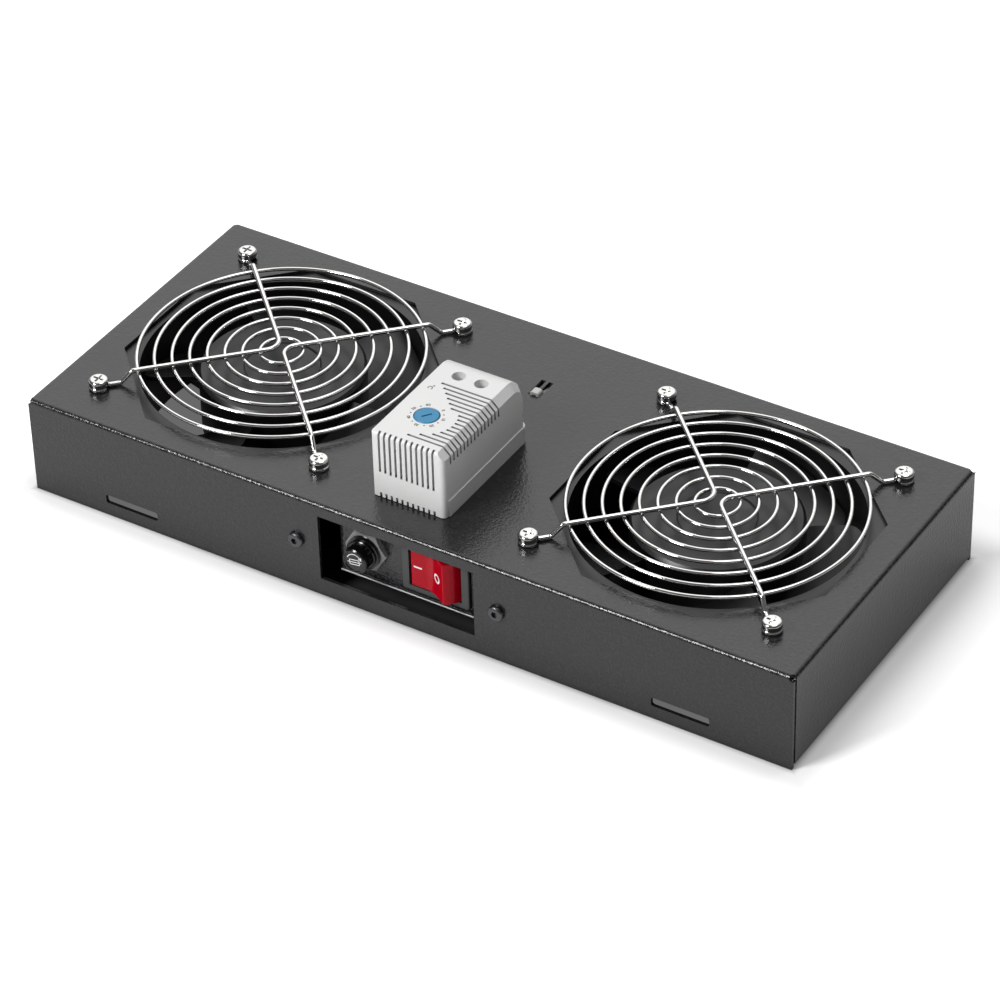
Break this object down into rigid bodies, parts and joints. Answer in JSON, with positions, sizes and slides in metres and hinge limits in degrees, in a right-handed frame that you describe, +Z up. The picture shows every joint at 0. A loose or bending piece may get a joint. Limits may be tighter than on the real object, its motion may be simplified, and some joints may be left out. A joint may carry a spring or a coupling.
{
  "type": "rack fan tray",
  "caption": "Folded black sheet-metal tray with axial fans under wire finger guards, a thermostat on top and a recessed front panel with a rocker switch and a fuse holder.",
  "frame": {"origin": "middle of the tray's width and depth, on the plane of its lower edges", "axes": "+X along the front towards the viewer's right, +Y from the front window to the back flange, +Z up out of the top plate"},
  "size_m": [0.346, 0.1505, 0.0747],
  "materials": {
    "black_steel": "textured semi-gloss black powder coat",
    "black_plastic": "moulded black plastic",
    "gloss_black": "glossy black plastic",
    "bright_wire": "bright nickel-plated wire",
    "zinc_steel": "bright zinc plate",
    "dark_steel": "black oxide",
    "bearing_steel": "ground steel",
    "copper": "enamelled copper wire",
    "brass": "brass",
    "white_plastic": "moulded light grey-white plastic",
    "blue_plastic": "moulded blue plastic",
    "red_plastic": "translucent red plastic",
    "grey_plastic": "moulded grey plastic",
    "glass": "clear glass",
    "bimetal": "rolled bimetal strip",
    "black_rubber": "black rubber",
    "nylon": "natural nylon",
    "lead_black": "black PVC sleeve",
    "lead_white": "white PVC sleeve"
  },
  "bodies": {
    "tray": {"tray_chassis": "black_steel", "switch_bracket": "black_steel", "bracket_screws": "dark_steel", "bracket_nuts": "zinc_steel", "switch_housing": "black_plastic", "switch_terminals": "brass", "fuse_holder_body": "gloss_black", "fuse_holder_nut": "grey_plastic", "fuse_holder_terminals": "brass", "thermostat_base": "white_plastic", "thermostat_cover": "white_plastic", "thermostat_core": "grey_plastic", "thermostat_bimetal": "bimetal", "thermostat_terminals": "zinc_steel", "thermostat_screws": "zinc_steel", "plate_grommet": "black_rubber", "mains_grommet": "black_rubber", "terminal_block": "white_plastic", "terminal_block_screws": "zinc_steel", "cable_tie": "nylon", "thermostat_lead": "lead_white", "switch_lead": "lead_black", "fuse_lead": "lead_black", "left_fan_frame": "black_plastic", "left_fan_bearings": "bearing_steel", "left_fan_stator": "copper", "left_finger_guard": "bright_wire", "left_guard_screws": "zinc_steel", "left_guard_nuts": "zinc_steel", "left_fan_lead": "lead_black", "right_fan_frame": "black_plastic", "right_fan_bearings": "bearing_steel", "right_fan_stator": "copper", "right_finger_guard": "bright_wire", "right_guard_screws": "zinc_steel", "right_guard_nuts": "zinc_steel", "right_fan_lead": "lead_black"},
    "left_fan": {"left_fan_rotor": "black_plastic", "left_fan_shaft": "bearing_steel"},
    "right_fan": {"right_fan_rotor": "black_plastic", "right_fan_shaft": "bearing_steel"},
    "rocker": {"switch_rocker": "red_plastic"},
    "dial": {"thermostat_dial": "blue_plastic"},
    "fuse_link": {"fuse_glass": "glass", "fuse_ferrules": "zinc_steel"},
    "cap": {"fuse_cap": "gloss_black"}
  },
  "joints": [
    {"name": "left_fan_spin", "type": "hinge", "parent": "tray", "child": "left_fan", "pos_m": [-0.1, 0, 0.03], "axis": [0, 0, 1], "continuous": true},
    {"name": "right_fan_spin", "type": "hinge", "parent": "tray", "child": "right_fan", "pos_m": [0.1, 0, 0.03], "axis": [0, 0, 1], "continuous": true},
    {"name": "rocker_tilt", "type": "hinge", "parent": "tray", "child": "rocker", "pos_m": [0.0144, -0.0616, 0.026], "axis": [0, 0, 1], "range_deg": [0, 30]},
    {"name": "dial_turn", "type": "hinge", "parent": "tray", "child": "dial", "pos_m": [-0.0062, -0.0377, 0.07], "axis": [0, 0, 1], "range_deg": [-300, 0]},
    {"name": "fuse_slide", "type": "slide", "parent": "tray", "child": "fuse_link", "axis": [0, -1, 0], "range_m": [0, 0.03]},
    {"name": "cap_turn", "type": "hinge", "parent": "fuse_link", "child": "cap", "pos_m": [-0.0174, -0.0655, 0.0247], "axis": [0, 1, 0], "range_deg": [0, 90]}
  ]
}
